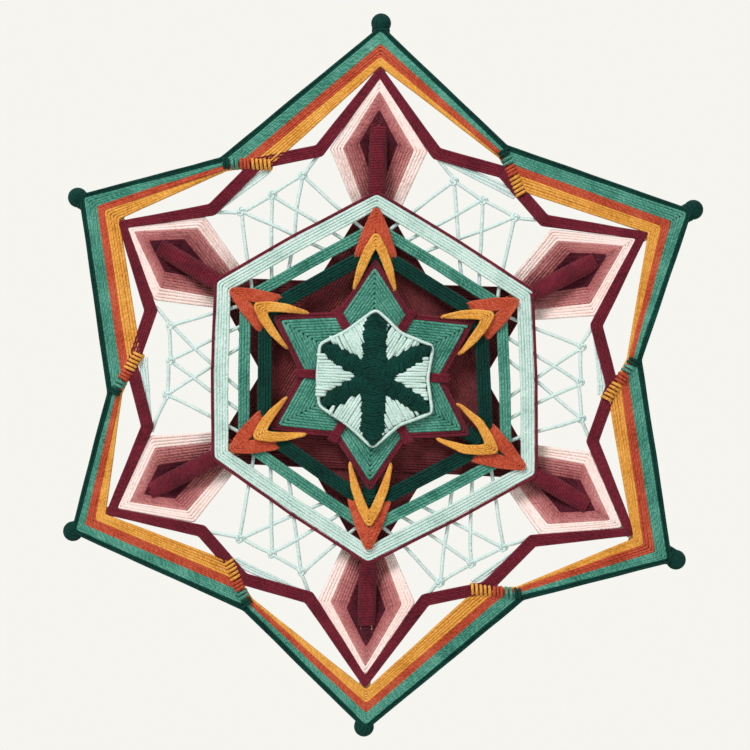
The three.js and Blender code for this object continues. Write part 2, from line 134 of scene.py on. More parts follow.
def wind(outline, turns, pitch=PITCH, spread=1.0, shift=0.0):
    """A winding's corners: the outline followed round, corner k moved in by pitch * k / corners, and by as much
    of its own shift."""
    count = len(outline)
    steps = np.arange(int(round(turns * count)) + 1)
    moves = mitres(outline) * np.broadcast_to(spread, count)[:, None]
    corners = outline[steps % count].copy()
    corners[:, [0, 2]] += moves[steps % count] * (pitch * steps / count)[:, None]
    corners += np.broadcast_to(shift, outline.shape)[steps % count] * (steps / count)[:, None]
    return corners


def smoothed(values, reach):
    """Rows averaged with a bell curve of the given reach in samples, ends held."""
    half = max(1, int(np.ceil(3 * reach)))
    bell = np.exp(-0.5 * (np.arange(-half, half + 1) / reach) ** 2)
    bell /= bell.sum()
    padded = np.pad(values, ((half, half), (0, 0)), mode="edge")
    return np.stack([np.convolve(padded[:, k], bell, mode="valid") for k in range(values.shape[1])], axis=1)


def laid(corners, bend=0.5, stray=0.05, step=STEP):
    """A yarn's path: corners joined by straight stretches, sampled evenly, rounded, with a slow stray."""
    lengths = np.linalg.norm(np.diff(corners, axis=0), axis=1)
    along = np.concatenate([[0], np.cumsum(lengths)])
    samples = np.linspace(0, along[-1], max(4, int(np.ceil(along[-1] / step)) + 1))
    path = np.stack([np.interp(samples, along, corners[:, k]) for k in range(3)], axis=1)
    path = smoothed(path, bend / step)
    if stray:
        drift = smoothed(random.normal(size=path.shape), STRAY_REACH / step)
        path += drift * stray * np.sqrt(2 * np.sqrt(np.pi) * STRAY_REACH / step)
    return path


def around_stick(arm, axial, half_side, front, back):
    """U-shaped turns behind an arm: side, back and other side of the stick, one row of corners a turn."""
    sides = np.array([-1.0, -1.0, 1.0, 1.0]) * half_side
    depths = np.array([front, back, back, front])
    return [on_arm(arm, place + np.array([0, 0.2, -0.2, 0]), sides, depths) for place in axial]


def stick_turns(points, turns, pitch, slope=1.0):
    """The turns behind all six arms that hold a band whose outermost corner lies at each point's radius."""
    strands = []
    for arm, radius in zip(ARMS, np.hypot(points[:, 0], points[:, 2])):
        places = radius - slope * 2.0 - pitch * np.arange(turns)
        strands += [(laid(turn, 0.5, 0.03, 0.9), YARN / 2, arm_guide(arm))
                    for turn in around_stick(arm, places, STICK / 2 + 0.8, FRONT - 1.2, BACK + 0.2)]
    return strands


def arm_guide(arm):
    """The direction of an arm, across which its turns are drawn."""
    angle = np.radians(ARM_DEGREES[arm % 6])
    return np.array([np.cos(angle), 0.0, np.sin(angle)])


# Meshes

def tube(path, radius, guide, sides=SIDES):
    """A round profile carried along a path: path + radius (cos t across + sin t over), with both ends closed.
    Its UV holds the ply's turn, length / ply length + t / whole turn, and the share of the length."""
    ahead = np.gradient(path, axis=0)
    ahead /= np.linalg.norm(ahead, axis=1, keepdims=True)
    across = np.cross(ahead, guide)
    across /= np.linalg.norm(across, axis=1, keepdims=True)
    over = np.cross(across, ahead)
    turn = 2 * np.pi * np.arange(sides) / sides
    size = np.broadcast_to(radius, len(path))[:, None, None]
    ring = np.cos(turn)[None, :, None] * across[:, None] + np.sin(turn)[None, :, None] * over[:, None]
    points = (path[:, None] + size * ring).reshape(-1, 3)
    row, col = np.meshgrid(np.arange(len(path) - 1), np.arange(sides), indexing="ij")
    after = (col + 1) % sides
    quads = np.stack([row * sides + col, row * sides + after, (row + 1) * sides + after,
                      (row + 1) * sides + col], axis=-1).reshape(-1, 4)
    length = np.concatenate([[0], np.cumsum(np.linalg.norm(np.diff(path, axis=0), axis=1))])
    ply = length / PLY_LENGTH
    share = length / length[-1]
    corner_u = np.stack([ply[row] + col / sides, ply[row] + (col + 1) / sides,
                         ply[row + 1] + (col + 1) / sides, ply[row + 1] + col / sides], axis=-1)
    corner_v = np.stack([share[row], share[row], share[row + 1], share[row + 1]], axis=-1)
    uv = np.stack([corner_u, corner_v], axis=-1).reshape(-1, 2)
    fan = np.arange(1, sides - 2, 2)
    first = np.stack([0 * fan, fan + 2, fan + 1, fan], axis=-1)
    last = (len(path) - 1) * sides + np.stack([0 * fan, fan, fan + 1, fan + 2], axis=-1)
    quads = np.concatenate([quads, first, last])
    uv = np.concatenate([uv, np.zeros((4 * len(fan), 2)), np.ones((4 * len(fan), 2))])
    return points, quads, uv


def mesh_piece(name, points, quads, uv, material):
    """A smooth mesh of four-sided faces from whole arrays, in metres."""
    mesh = bpy.data.meshes.new(name)
    mesh.vertices.add(len(points))
    mesh.vertices.foreach_set("co", (points / 1000).astype(np.float32).ravel())
    mesh.loops.add(quads.size)
    mesh.loops.foreach_set("vertex_index", quads.astype(np.int32).ravel())
    mesh.polygons.add(len(quads))
    mesh.polygons.foreach_set("loop_start", np.arange(0, quads.size, 4, dtype=np.int32))
    mesh.polygons.foreach_set("use_smooth", np.ones(len(quads), dtype=bool))
    layer = mesh.uv_layers.new(name="ply")
    layer.data.foreach_set("uv", uv.astype(np.float32).ravel())
    mesh.update(calc_edges=True)
    mesh.validate()
    mesh.materials.append(material)
    piece = bpy.data.objects.new(name, mesh)
    bpy.context.scene.collection.objects.link(piece)
    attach(piece, "root")
    return piece


def yarn_piece(node, strands, material):
    """One piece for one CAD node, of strands given as (path, radius, guide)."""
    points, quads, uv, start = [], [], [], 0
    for path, radius, guide in strands:
        p, q, t = tube(path, radius, guide)
        points.append(p)
        quads.append(q + start)
        uv.append(t)
        start += len(p)
    piece = mesh_piece("yarn_" + node, np.concatenate(points), np.concatenate(quads), np.concatenate(uv), material)
    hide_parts(node)


# Materials

def linear(hex_colour):
    """An sRGB hex colour as a linear colour with alpha."""
    srgb = np.array([int(hex_colour[k:k + 2], 16) for k in (1, 3, 5)]) / 255
    low = srgb / 12.92
    high = ((srgb + 0.055) / 1.055) ** 2.4
    return (*np.where(srgb <= 0.04045, low, high).tolist(), 1.0)


def add_node(tree, kind, settings=None, values=None, links=None):
    """Adds a node, sets its properties and input values, and links its inputs to other nodes' outputs."""
    node = tree.nodes.new(kind)
    for key, value in (settings or {}).items():
        setattr(node, key, value)
    for key, value in (values or {}).items():
        node.inputs[key].default_value = value
    for key, socket in (links or {}).items():
        tree.links.new(socket, node.inputs[key])
    return node


def set_ramp(node, stops):
    """Gives a colour ramp its stops, as (place, sRGB hex)."""
    ramp = node.color_ramp
    while len(ramp.elements) < len(stops):
        ramp.elements.new(0.5)
    for element, (place, colour) in zip(ramp.elements, stops):
        element.position = place
        element.color = linear(colour)


def plied_wool(name, dark_tone_and_groove_shade, body, pale_tone_and_crown_highlight, sheen=0.08, roughness=0.9, twist=0.2, inner_tone_and_shade=None):
    """Plied wool yarn: two plies twist round each other, so grooves run slantwise between fuzzy crowns, with painted
    shade in the grooves and a painted highlight on the crowns, and the dye is a little uneven along the yarn."""
    material = bpy.data.materials.new(name)
    material.use_nodes = True
    tree = material.node_tree
    shader = tree.nodes["Principled BSDF"]
    place = add_node(tree, "ShaderNodeTexCoord")
    split = add_node(tree, "ShaderNodeSeparateXYZ", links={"Vector": place.outputs["UV"]})
    # The twist is uneven over about 2.5 mm, so that plies on neighbouring turns don't line up
    drift = add_node(tree, "ShaderNodeTexNoise", values={"Scale": 1 / 0.0025, "Detail": 0.0},
                     links={"Vector": place.outputs["Object"]})
    slip = add_node(tree, "ShaderNodeMath", {"operation": "MULTIPLY"}, {1: 14.0}, {0: drift.outputs["Fac"]})
    phase = add_node(tree, "ShaderNodeMath", {"operation": "MULTIPLY_ADD"}, {1: 4 * np.pi},
                     {0: split.outputs["X"], 2: slip.outputs[0]})
    wave = add_node(tree, "ShaderNodeMath", {"operation": "SINE"}, links={0: phase.outputs[0]})
    ply = add_node(tree, "ShaderNodeMapRange", values={"From Min": -1.0, "From Max": 1.0},
                   links={"Value": wave.outputs[0]})
    # Fibres about 0.45 mm long, and dye that drifts over about 9 mm
    fibre = add_node(tree, "ShaderNodeTexNoise", values={"Scale": 1 / 0.00045, "Detail": 2.0, "Roughness": 0.6},
                     links={"Vector": place.outputs["Object"]})
    dye = add_node(tree, "ShaderNodeTexNoise", values={"Scale": 1 / 0.009, "Detail": 1.0},
                   links={"Vector": place.outputs["Object"]})
    # The ply wave paints shade into the grooves between the plies and a highlight onto their crowns, as strongly as
    # twist says
    ply_shade = add_node(tree, "ShaderNodeMath", {"operation": "MULTIPLY_ADD"}, {1: twist, 2: 0.055 - twist / 2},
                         {0: ply.outputs[0]})
    fibre_share = add_node(tree, "ShaderNodeMath", {"operation": "MULTIPLY_ADD"}, {1: 0.55},
                           {0: fibre.outputs["Fac"], 2: ply_shade.outputs[0]})
    tone = add_node(tree, "ShaderNodeMath", {"operation": "MULTIPLY_ADD"}, {1: 0.45},
                    {0: dye.outputs["Fac"], 2: fibre_share.outputs[0]})
    ramp = add_node(tree, "ShaderNodeValToRGB", links={"Fac": tone.outputs[0]})
    set_ramp(ramp, [(0.25, dark_tone_and_groove_shade), (0.52, body), (0.85, pale_tone_and_crown_highlight)])
    colour = ramp.outputs["Color"]
    # Towards the end of the yarn's length, its inner turns, the colour gives way to a second ramp: on the burgundy
    # under-star a change of dye tone, on the rose kites painted shade
    if inner_tone_and_shade:
        far = add_node(tree, "ShaderNodeValToRGB", links={"Fac": tone.outputs[0]})
        set_ramp(far, [(0.25, inner_tone_and_shade[0]), (0.52, inner_tone_and_shade[1]), (0.85, inner_tone_and_shade[2])])
        blend = add_node(tree, "ShaderNodeMix", {"data_type": "RGBA"}, links={
            "Factor": split.outputs["Y"], 6: colour, 7: far.outputs["Color"]})
        colour = blend.outputs[2]
    tree.links.new(colour, shader.inputs["Base Color"])
    height = add_node(tree, "ShaderNodeMath", {"operation": "MULTIPLY_ADD"}, {1: 0.6},
                      {0: fibre.outputs["Fac"], 2: ply.outputs[0]})
    bump = add_node(tree, "ShaderNodeBump", values={"Strength": 0.4, "Distance": 0.00025},
                    links={"Height": height.outputs[0]})
    tree.links.new(bump.outputs["Normal"], shader.inputs["Normal"])
    shader.inputs["Roughness"].default_value = roughness
    shader.inputs["Specular IOR Level"].default_value = 0.12
    shader.inputs["Sheen Weight"].default_value = sheen
    shader.inputs["Sheen Roughness"].default_value = 0.6
    return material


def planed_wood(name):
    """Planed pale wood: fine brown grain noise, about 0.8 mm in size."""
    material = bpy.data.materials.new(name)
    material.use_nodes = True
    tree = material.node_tree
    shader = tree.nodes["Principled BSDF"]
    place = add_node(tree, "ShaderNodeTexCoord")
    grain = add_node(tree, "ShaderNodeTexNoise", values={"Scale": 1 / 0.0008, "Detail": 4.0, "Distortion": 0.6},
                     links={"Vector": place.outputs["Object"]})
    ramp = add_node(tree, "ShaderNodeValToRGB", links={"Fac": grain.outputs["Fac"]})
    set_ramp(ramp, [(0.3, "#a97f50"), (0.6, "#c9a77a"), (0.8, "#dcc096")])
    tree.links.new(ramp.outputs["Color"], shader.inputs["Base Color"])
    bump = add_node(tree, "ShaderNodeBump", values={"Strength": 0.3, "Distance": 0.0001},
                    links={"Height": grain.outputs["Fac"]})
    tree.links.new(bump.outputs["Normal"], shader.inputs["Normal"])
    shader.inputs["Roughness"].default_value = 0.65
    return material


# Dyed wool yarn, except for the smoother mint cotton and net thread
DARK_GREEN = plied_wool("dark_green_plied_wool", "#021512", "#05332b", "#0d483d", sheen=0.02)
JADE = plied_wool("jade_plied_wool", "#1c5043", "#408874", "#72b09d")
MINT = plied_wool("mint_mercerised_cotton", "#98bab0", "#c4ded5", "#e6f4ef", sheen=0.1, roughness=0.6, twist=0.08)
NET_MINT = plied_wool("mint_net_thread", "#b4cfc9", "#cce1dc", "#dfeeea", roughness=0.7, twist=0.08)
ORANGE = plied_wool("orange_plied_wool", "#7c2813", "#b6452b", "#cd6a4a")
AMBER = plied_wool("amber_plied_wool", "#a8691f", "#db963a", "#efb960")
CRIMSON = plied_wool("crimson_plied_wool", "#340710", "#641324", "#7e2535")
# The heart yarn is a darker crimson than the zigzag's, and darker still by painted shade in the sunken middle of each
# kite
HEART_PAINTED_SHADE = plied_wool("heart_crimson_plied_wool_painted_shade", "#240610", "#480f1d", "#681f2f")
BURGUNDY = plied_wool("burgundy_plied_wool", "#2c090e", "#571a20", "#7c333a", twist=0.1,
                      inner_tone_and_shade=("#4a1418", "#7c3436", "#a05a58"))
# The rose yarn turns darker towards its inner turns: painted shade where the kite sinks towards the sleeve
ROSE_PAINTED_SHADE = plied_wool("rose_plied_wool_painted_shade", "#9a5656", "#bf7a77", "#d49a96", inner_tone_and_shade=("#6e2c32", "#9c5052", "#b87270"))
BLUSH = plied_wool("blush_plied_wool", "#ecccc2", "#fae0d8", "#fdf1ec", twist=0.08)
WOOD = planed_wood("planed_pale_wood")

for stick in ("stick_rear", "stick_middle", "stick_front"):
    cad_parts[stick].data.materials.clear()
    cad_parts[stick].data.materials.append(WOOD)


# Outer ring: how far below each arm's end a turn's point lies, how far its wide leg lies from the first turn,
# and how far it still lies from it in the valley, where all the turns are drawn together
RING_VALLEY = np.array([115.2, 114.8, 114.6, 115.4, 116.5, 116.3])
VALLEY_TWIST = np.array([1.8, 6.2, 5.6, 3.2, 5.3, 5.3])
RING_REACH = REACH + np.array([0.9, 0.8, 2.2, 1.6, 2.2, 0.9])
RING_SIDE = np.array([0.0, 0.0, -1.2, 0.0, 0.7, -1.6])
JADE_TO = np.array([11.5, 8.8, 10.3, 7.8, 8.7, 9.5])
ORANGE_TO = np.array([16.2, 14.6, 13.9, 12.8, 13.0, 15.7])
AMBER_TO = np.array([22.4, 18.4, 21.3, 17.6, 18.7, 20.4])


def ring_band(above, below, turns, distance, step, gathered, more):
    """The turns of one colour, spaced evenly on each arm from the edge above to the edge below."""
    return [(above + (below - above) * (k + 0.5) / turns, distance + step * k, gathered + more * k)
            for k in range(turns)]


RING_BANDS = {
    "dark_green": [(1.7, 0.0, 0.0), (2.9, 1.15, 0.9)],
    "jade": ring_band(3.5, JADE_TO, 5, 2.3, 0.96, 1.9, 0.2),
    "orange": ring_band(JADE_TO, ORANGE_TO, 4, 7.0, 0.9, 3.0, 0.45),
    "amber": ring_band(ORANGE_TO, AMBER_TO, 5, 10.7, 1.25, 4.2, 0.2),
}
ring_outline = woven(on_arm(ARMS, RING_REACH - 1.7, RING_SIDE), in_sector(ARMS, RING_VALLEY, VALLEY_TWIST))

# The strip that the wide legs end on runs from each valley towards the next corner of the zigzag
strip_top = in_sector(ARMS, RING_VALLEY - 1.9, VALLEY_TWIST + 0.3)
strip_end = in_sector(ARMS, 101.0, VALLEY_TWIST - 9.8)

# Zigzag inside the ring
ZIGZAG_TURNS = 5
ZIGZAG_CORNER = 98.9
ZIGZAG_SIDE = 26.8
zigzag_points = on_arm(ARMS, REACH - np.array([21.9, 18.2, 19.5, 16.5, 17.3, 19.9]))
zigzag_valleys = in_sector(ARMS, 107.0, -0.5)
zigzag_ccw = on_arm(ARMS, ZIGZAG_CORNER, ZIGZAG_SIDE)
zigzag_cw = on_arm(NEXT, ZIGZAG_CORNER, -ZIGZAG_SIDE)
zigzag_outline = woven(zigzag_points, zigzag_ccw, zigzag_valleys, zigzag_cw)


def rounds(turns):
    """Turns joined into one route that starts where the first ends and ends where the last starts, so no leg
    is a strand short."""
    return np.concatenate([turns[0][-1:]] + turns + [turns[-1][:1]])


def ring_turn(drop, distance, gathered, depth):
    """One turn of an inner colour: a point on each arm, the end of its wide leg on the strip, and the valley
    behind, from where it runs straight to the next point."""
    leg = inset(ring_outline, distance)
    landing = meeting(leg[0::2], leg[1::2], strip_top, strip_end, FRONT)
    valley = inset(ring_outline, gathered)[1::2] + [0, FRONT - depth, 0]
    return woven(on_arm(ARMS, RING_REACH - drop, RING_SIDE), landing, valley)


def ring_hold(turns):
    """The turns behind the arms that hold one colour of the ring."""
    strands = []
    for drop, _, _ in turns:
        strands += stick_turns(on_arm(ARMS, RING_REACH - drop), 1, PITCH, 0.5)
    return strands


def coil(start, end, turns, half_wide, front, back):
    """A yarn coiled round a flat bundle that runs from start to end: an oval turn carried along it."""
    turn = np.linspace(0, 2 * np.pi * turns, int(turns * 14))
    ahead = (end - start) / np.linalg.norm(end - start)
    across = np.array([-ahead[2], 0.0, ahead[0]])
    middle = start + (end - start) * (turn / turn[-1])[:, None]
    wide = np.cos(turn)[:, None] * across * half_wide
    deep = np.zeros_like(wide)
    deep[:, 1] = np.where(np.sin(turn) > 0, -np.sin(turn) * front, -np.sin(turn) * back)
    return middle + wide + deep, ahead


def strip_coils(near, far, turns):
    """Coils round the strip, from near to far as shares of its length."""
    strands = []
    starts, ends = (mixed(strip_top, strip_end, share, FRONT - 0.4) for share in (near, far))
    for start, end in zip(starts, ends):
        path, ahead = coil(start, end, turns, 2.2, 1.9, 2.6)
        strands.append((path, YARN / 2, ahead))
    return strands


dark_turns = [inset(ring_outline, distance) for _, distance, _ in RING_BANDS["dark_green"]]
yarn_piece("ring_dark_green", [(laid(rounds(dark_turns)), YARN / 2, GUIDE)]
           + ring_hold(RING_BANDS["dark_green"]) + strip_coils(0.02, 0.16, 2), DARK_GREEN)
for word, material, depth, coils in (("jade", JADE, FRONT - 0.5, (0.18, 0.34, 2)),
                                     ("orange", ORANGE, FRONT - 0.8, (0.36, 0.56, 3)),
                                     ("amber", AMBER, FRONT - 1.6, (0.58, 0.98, 5))):
    path = laid(rounds([ring_turn(*turn, depth) for turn in RING_BANDS[word]]))
    yarn_piece("ring_" + word, [(path, YARN / 2, GUIDE)] + ring_hold(RING_BANDS[word]) + strip_coils(*coils),
               material)
zigzag_path = laid(wind(zigzag_outline, ZIGZAG_TURNS, spread=np.tile([0.5, 0.85, 0.85, 0.85], 6)))
yarn_piece("zigzag_crimson", [(zigzag_path, YARN / 2, GUIDE)]
           + stick_turns(zigzag_points, ZIGZAG_TURNS, PITCH * 1.5, 2.6), CRIMSON)

# Kites on the arms, and the sleeves inside them. A band has its turns, how close they lie at each of the five corners,
# and how far the side corners climb along the arm from turn to turn
KITE_BANDS = [("blush", 4, (0.9, 1.05, 0.75, 1.05, 0.9), 0.3, BLUSH, "blush_yarn"),
              ("rose", 6, (1.0, 0.85, 0.58, 0.85, 1.0), 0.55, ROSE_PAINTED_SHADE, "rose_yarn"),
              ("heart", 5, (0.8, 0.7, 0.85, 0.7, 0.8), 0.3, HEART_PAINTED_SHADE, "crimson_yarn")]
KITE_YARN = 1.56
KITE_FOOT, KITE_FOOT_SIDE, KITE_FOOT_DEPTH = 71.5, 9.0, BACK - 2 * LAYER
KITE_WIDE, KITE_WIDE_SIDE, KITE_WIDE_DEPTH = 97.8, 20.9, FRONT - 0.9
KITE_DROP = np.array([27.4, 22.1, 21.5, 22.2, 19.6, 26.5])
KITE_SINK = 0.2
KITE_SIDES = np.array([0, 1, 0, 1, 0])[:, None]
SLEEVE_PITCH = 1.15
SLEEVE_FOOT = 78.6
SLEEVE_TOP = 108.5
SQUARENESS = 3.2


def kite_outline(arm):
    """A kite's five corners: two at the foot behind everything, two at the sides and the point on the arm."""
    return np.stack([on_arm(arm, KITE_FOOT, -KITE_FOOT_SIDE, KITE_FOOT_DEPTH),
                     on_arm(arm, KITE_WIDE, -KITE_WIDE_SIDE, KITE_WIDE_DEPTH),
                     on_arm(arm, REACH[arm] - KITE_DROP[arm], 0.0, FRONT - 0.5),
                     on_arm(arm, KITE_WIDE, KITE_WIDE_SIDE, KITE_WIDE_DEPTH),
                     on_arm(arm, KITE_FOOT, KITE_FOOT_SIDE, KITE_FOOT_DEPTH)])


def sleeve(arm, low, high, pitch, rise):
    """Yarn round and round a stick: a turn carried along the arm, lying closer at its low end. The turn is a
    rounded square, the superellipse r = (|cos t|^n + |sin t|^n)^(-1/n)."""
    turns = (high - low) / pitch
    turn = np.linspace(0, 2 * np.pi * turns, int(turns * 16))
    along = pitch * turn / (2 * np.pi)
    reach = STICK / 2 + np.minimum(0.45 + rise * along, 0.9)
    flat = (np.abs(np.cos(turn)) ** SQUARENESS + np.abs(np.sin(turn)) ** SQUARENESS) ** (-1 / SQUARENESS)
    return on_arm(arm, low + along, reach * flat * np.cos(turn), reach * flat * np.sin(turn))


for arm, name in enumerate(ARM_NAMES):
    start = kite_outline(arm)
    outward = on_arm(arm, 1.0) - on_arm(arm, 0.0)
    for word, turns, spread, climb, material, slot in KITE_BANDS:
        shift = KITE_SIDES * (climb * outward + [0.0, KITE_SINK, 0.0])
        path = laid(wind(start, turns, spread=spread, shift=shift), 0.25)
        yarn_piece(f"kite_{word}_{name}", [(path, KITE_YARN / 2, GUIDE)], material)
        start[:, [0, 2]] += mitres(start) * (np.array(spread) * PITCH * turns)[:, None]
        start += shift * turns
    path = sleeve(arm, SLEEVE_FOOT + WEAVE[arm], SLEEVE_TOP, SLEEVE_PITCH, 0.1)
    yarn_piece("sleeve_" + name, [(path, YARN / 2, arm_guide(arm))], CRIMSON)


# Hexagons

def hexagon(node, circumradius, turns, material, bow=0.0, wraps=()):
    """A band across the fronts of the arms, its sides bowed outwards a little where the nets pull."""
    corners = on_arm(ARMS, circumradius + WEAVE)
    middles = mixed(corners, corners[NEXT], 0.5, FRONT)
    middles *= 1 + bow / np.hypot(middles[:, 0], middles[:, 2])[:, None] * [1, 0, 1]
    path = laid(wind(woven(corners, middles), turns))
    yarn_piece(node, [(path, YARN / 2, GUIDE)] + stick_turns(corners, turns, PITCH * 1.15) + list(wraps),
               material)


hexagon("hexagon_crimson_line", 81.2, 1, CRIMSON, 0.8)
hexagon("hexagon_mint", 79.6, 5, MINT, 0.7)
hexagon("hexagon_jade", 68.0, 4, JADE, 0.4)
# The sticks are wound dark green where they show inside the last hexagon
wraps = [(sleeve(arm, 46.0, 57.0, SLEEVE_PITCH, 0.0), YARN / 2, arm_guide(arm)) for arm in ARMS]
hexagon("hexagon_dark_green", 58.8, 5, DARK_GREEN, wraps=wraps)


# Stars

def arched_turn(profile, *valley):
    """One turn of an arched star: for each arm the profile's (axial, side, depth) up its clockwise side and
    down its other side, then the valley behind, if it has one."""
    ccw = [on_arm(ARMS, axial + WEAVE, side, depth) for axial, side, depth in profile]
    cw = [on_arm(ARMS, axial + WEAVE, -side, depth) for axial, side, depth in reversed(profile)]
    return woven(*cw, *ccw, *valley)


# Where each arm's tips and amber ends lie, and the profiles of turn k: along the arm, aside and deep
orange_tip = 73.6 + np.array([-1.2, 0.0, -0.9, -2.0, 0.0, 0.0])
orange_turns = [arched_turn([(orange_tip - 1.2 * k, max(0.9 - 0.3 * k, 0.1), FRONT + 1.6),
                             (64.3 - 0.6 * k, 5.2 - 0.62 * k, FRONT + 1.5),
                             (54.8, 8.4 - 0.68 * k, FRONT + 0.9),
                             (50.6, 9.2 - 0.6 * k, FRONT - 1.4)]) for k in range(7)]
yarn_piece("star_orange", [(laid(rounds(orange_turns), 0.6), YARN / 2, GUIDE)]
           + stick_turns(on_arm(ARMS, orange_tip + 0.8 + WEAVE), 5, 1.9), ORANGE)
amber_valley = in_sector(ARMS, 28.7, 0.0, FRONT - 2.4)
amber_tip = np.array([-1.4, 0.8, -1.3, -1.8, 1.6, -2.1])
amber_end = np.array([2.0, 0.8, 1.2, 2.0, -0.8, -2.4])
amber_turns = [arched_turn([(61.6 + amber_tip - 1.3 * k, max(0.7 - 0.3 * k, 0.1), FRONT + 2.8),
                            (55.8 + 0.6 * amber_tip - 0.5 * k, 4.3 - 0.62 * k, FRONT + 2.6),
                            (48.0 + 0.3 * amber_end, 7.4 - 0.2 * amber_end - 0.7 * k, FRONT + 1.9),
                            (38.6 + amber_end, 8.9 - 0.08 * k, FRONT + 0.8 - 0.15 * k),
                            (36.8 + amber_end, 8.4, FRONT - 1.4),
                            (36.4 + amber_end, 5.4, FRONT - 2.2)], amber_valley)
               for k in range(5)]
yarn_piece("star_amber", [(laid(rounds(amber_turns), 0.6), YARN / 2, GUIDE)]
           + stick_turns(on_arm(ARMS, 61.0 + amber_tip + WEAVE), 4, 1.9), AMBER)

CRIMSON_TIP = 50.6
CRIMSON_VALLEY = 31.2
crimson_tips = on_arm(ARMS, CRIMSON_TIP)
crimson_star = woven(crimson_tips, in_sector(ARMS, CRIMSON_VALLEY))
path = laid(wind(crimson_star, 2))
# Four strands lie across each valley of the star
straps = [(laid(np.stack(ends)), YARN / 2, GUIDE)
          for twist in (-3.6, -1.2, 1.2, 3.6)
          for ends in zip(in_sector(ARMS, 33.5, twist * 0.6, FRONT + 1.0), in_sector(ARMS, 22.0, twist, FRONT + 1.0))]
yarn_piece("star_crimson", [(path, YARN / 2, GUIDE)] + straps + stick_turns(crimson_tips, 3, 2.0),
           CRIMSON)
jade_star = inset(crimson_star, PITCH * 2)
jade_star[0::2, 1] -= 0.8
path = laid(wind(jade_star, 9), 0.2)
yarn_piece("star_jade", [(path, YARN / 2, GUIDE)] + stick_turns(jade_star[0::2], 9, 2.0), JADE)

# Two triangles behind the sticks, the points of which end under the kites
UNDER_STAR_POINT = 84.0
UNDER_STAR_TURNS = 22
UNDER_STAR_PITCH = 1.16
for node, first, depth in (("under_star_first", 1, BACK - 0.4), ("under_star_second", 0, BACK - 0.2 - LAYER)):
    on = (first + np.array([0, 2, 4])) % 6
    triangle = on_arm(on, UNDER_STAR_POINT + WEAVE[on], 0.0, depth)
    path = laid(wind(triangle, UNDER_STAR_TURNS, UNDER_STAR_PITCH))
    yarn_piece(node, [(path, YARN / 2, GUIDE)], BURGUNDY)


# Medallion: it sits a little off the crossing
MEDALLION_TOP = 6.6
MEDALLION_POINTS = np.array([29.0, 29.4, 27.5, 26.9, 30.7, 29.4])
MEDALLION_VALLEYS = np.array([22.2, 23.4, 24.6, 23.4, 23.2, 23.0])
MEDALLION_SHIFT = np.array([0.65, 0.0, -0.43])
UPRIGHT_ARMS = (1, 4)


def petal_stitches(arm, inner, outer, half, depth):
    """Chevron stitches across a petal: side, raised middle further out, other side, narrowing at the tip."""
    strands = []
    for axial in np.arange(inner, outer, 1.15):
        wide = half * min(1.0, 0.15 + (outer + 0.6 - axial) / 6.0)
        axials = axial + np.array([-1.8, -0.6, 0.6, -0.6, -1.8])
        sides = wide * np.array([-1.0, -0.7, 0.0, 0.7, 1.0])
        depths = depth + np.array([-1.2, 0.3, 0.8, 0.3, -1.2])
        path = laid(on_arm(arm, axials, sides, depths), 0.5, 0.06, 0.7) + MEDALLION_SHIFT
        strands.append((path, 0.72, arm_guide(arm)))
    return strands


def wedge_stitches(sector):
    """Satin stitches along the middle of a sector, longest at the middle, with ragged inner and outer ends."""
    strands = []
    angle = np.radians(SECTOR_DEGREES[sector])
    out = np.array([np.cos(angle), np.sin(angle)])
    side = np.array([-out[1], out[0]])
    for order, offset in enumerate(np.arange(-9.6, 9.7, 1.2)):
        ragged = 1.2 * (-1) ** order + random.normal(0, 0.5)
        start = 6.4 + 1.75 * abs(offset) + ragged
        end = MEDALLION_VALLEYS[sector] - 0.4 + 0.1 * abs(offset)
        if end - start < 1.6:
            continue
        line = np.linspace(start, end, 5)
        x = line * out[0] + offset * side[0]
        z = line * out[1] + offset * side[1]
        depth = MEDALLION_TOP + np.array([-1.1, 0.1, 0.3, 0.1, -0.5])
        strands.append((laid(spot(x, z, depth), 0.5, 0.08, 0.7) + MEDALLION_SHIFT, 0.74, GUIDE))
    return strands


medallion_points = on_arm(ARMS, MEDALLION_POINTS, 0.0, MEDALLION_TOP - 0.4)
medallion_valleys = in_sector(ARMS, MEDALLION_VALLEYS, 0.0, MEDALLION_TOP - 0.4)
medallion_edge = woven(medallion_points, medallion_valleys) + MEDALLION_SHIFT
stitches = []
for sector in ARMS:
    stitches += wedge_stitches(sector)
edge_path = laid(np.concatenate([medallion_edge, medallion_edge[:2]]), 1.6, 0.1)
yarn_piece("medallion_stitching", stitches + [(edge_path, 0.75, GUIDE)], MINT)


def cushion_base(edge, low, high):
    """A low dome over the medallion's outline: radius share r in 0..1, depth low + (high - low) (1 - r^4),
    closed by a flat back."""
    angles = np.linspace(0, 2 * np.pi, 97)[:-1]
    around = np.arctan2(edge[:, 2], edge[:, 0]) % (2 * np.pi)
    order = np.argsort(around)
    radius = np.interp(angles, around[order], np.hypot(edge[:, 0], edge[:, 2])[order], period=2 * np.pi)
    share = np.concatenate([np.linspace(0.02, 1, 12), [0.98, 0.02]])
    lift = np.concatenate([low + (high - low) * (1 - np.linspace(0.02, 1, 12) ** 4), [low, low]])
    grid = spot(share[:, None] * radius * np.cos(angles), share[:, None] * radius * np.sin(angles), lift[:, None])
    rows, cols = grid.shape[:2]
    row, col = np.meshgrid(np.arange(rows), np.arange(cols), indexing="ij")
    quads = np.stack([row * cols + col, row * cols + (col + 1) % cols,
                      (row + 1) % rows * cols + (col + 1) % cols, (row + 1) % rows * cols + col], axis=-1)
    return grid.reshape(-1, 3), quads.reshape(-1, 4)[:, ::-1]


